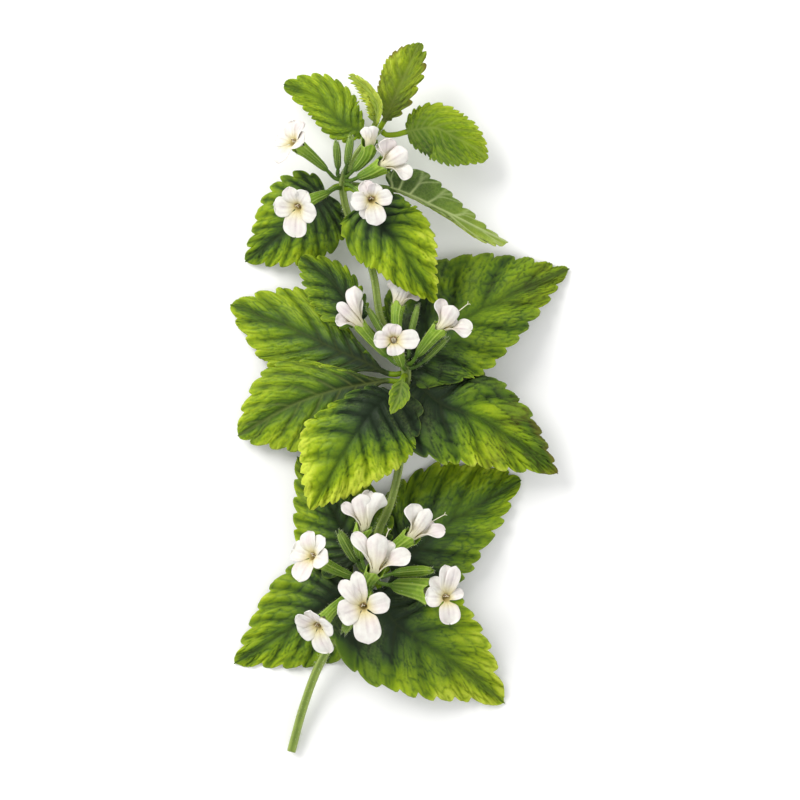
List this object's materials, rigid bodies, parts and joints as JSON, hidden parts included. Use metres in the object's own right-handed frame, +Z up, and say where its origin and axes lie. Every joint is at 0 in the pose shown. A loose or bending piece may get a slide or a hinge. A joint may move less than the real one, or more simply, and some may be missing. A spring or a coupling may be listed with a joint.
{
  "type": "lemon balm sprig",
  "caption": "Cut flowering lemon balm sprig lying on a surface: square stem, toothed veined leaves, and clusters of white two-lipped flowers in green calyces.",
  "frame": {"origin": "centre of the bottom of the bounding box, on the surface that the sprig lies on", "axes": "+Y along the stem from the cut end to the shoot tip, +X to the right as seen from above, +Z up from the surface"},
  "size_m": [0.0622, 0.1288, 0.0248],
  "materials": {
    "leaf": "wrinkled fresh leaf, slightly glossy above, paler and matt below",
    "stem": "soft green square stem with fine hairs",
    "calyx": "ribbed green calyx with paler ribs and fine hairs",
    "petal": "thin white petal with faint creases, cream at the throat"
  },
  "bodies": {
    "root": {"calyx_lower_1": "calyx", "calyx_lower_2": "calyx", "calyx_lower_3": "calyx", "calyx_lower_4": "calyx", "calyx_lower_5": "calyx", "calyx_lower_6": "calyx", "calyx_lower_7": "calyx", "calyx_middle_1": "calyx", "calyx_middle_2": "calyx", "calyx_middle_3": "calyx", "calyx_middle_4": "calyx", "calyx_upper_1": "calyx", "calyx_upper_2": "calyx", "calyx_upper_3": "calyx", "calyx_upper_4": "calyx", "calyx_upper_5": "calyx", "corolla_lower_1": "petal", "corolla_lower_2": "petal", "corolla_lower_3": "petal", "corolla_lower_4": "petal", "corolla_lower_5": "petal", "corolla_lower_6": "petal", "corolla_lower_7": "petal", "corolla_middle_1": "petal", "corolla_middle_2": "petal", "corolla_middle_3": "petal", "corolla_middle_4": "petal", "corolla_upper_1": "petal", "corolla_upper_2": "petal", "corolla_upper_3": "petal", "corolla_upper_4": "petal", "corolla_upper_5": "petal", "leaf_low_left_down": "leaf", "leaf_low_left_up": "leaf", "leaf_low_right_down": "leaf", "leaf_low_right_up": "leaf", "leaf_mid_bract": "leaf", "leaf_mid_front": "leaf", "leaf_mid_left_down": "leaf", "leaf_mid_left_up": "leaf", "leaf_mid_right_down": "leaf", "leaf_mid_right_up": "leaf", "leaf_mid_shoot_left": "leaf", "leaf_top_folded": "leaf", "leaf_top_left": "leaf", "leaf_top_round": "leaf", "leaf_top_upright": "leaf", "leaf_upper_front": "leaf", "leaf_upper_lance": "leaf", "leaf_upper_left": "leaf", "spent_calyx_lower_1": "calyx", "spent_calyx_lower_2": "calyx", "spent_calyx_lower_3": "calyx", "spent_calyx_middle_1": "calyx", "spent_calyx_middle_2": "calyx", "spent_calyx_middle_3": "calyx", "spent_calyx_upper_1": "calyx", "spent_calyx_upper_2": "calyx", "stem": "stem"}
  },
  "joints": []
}
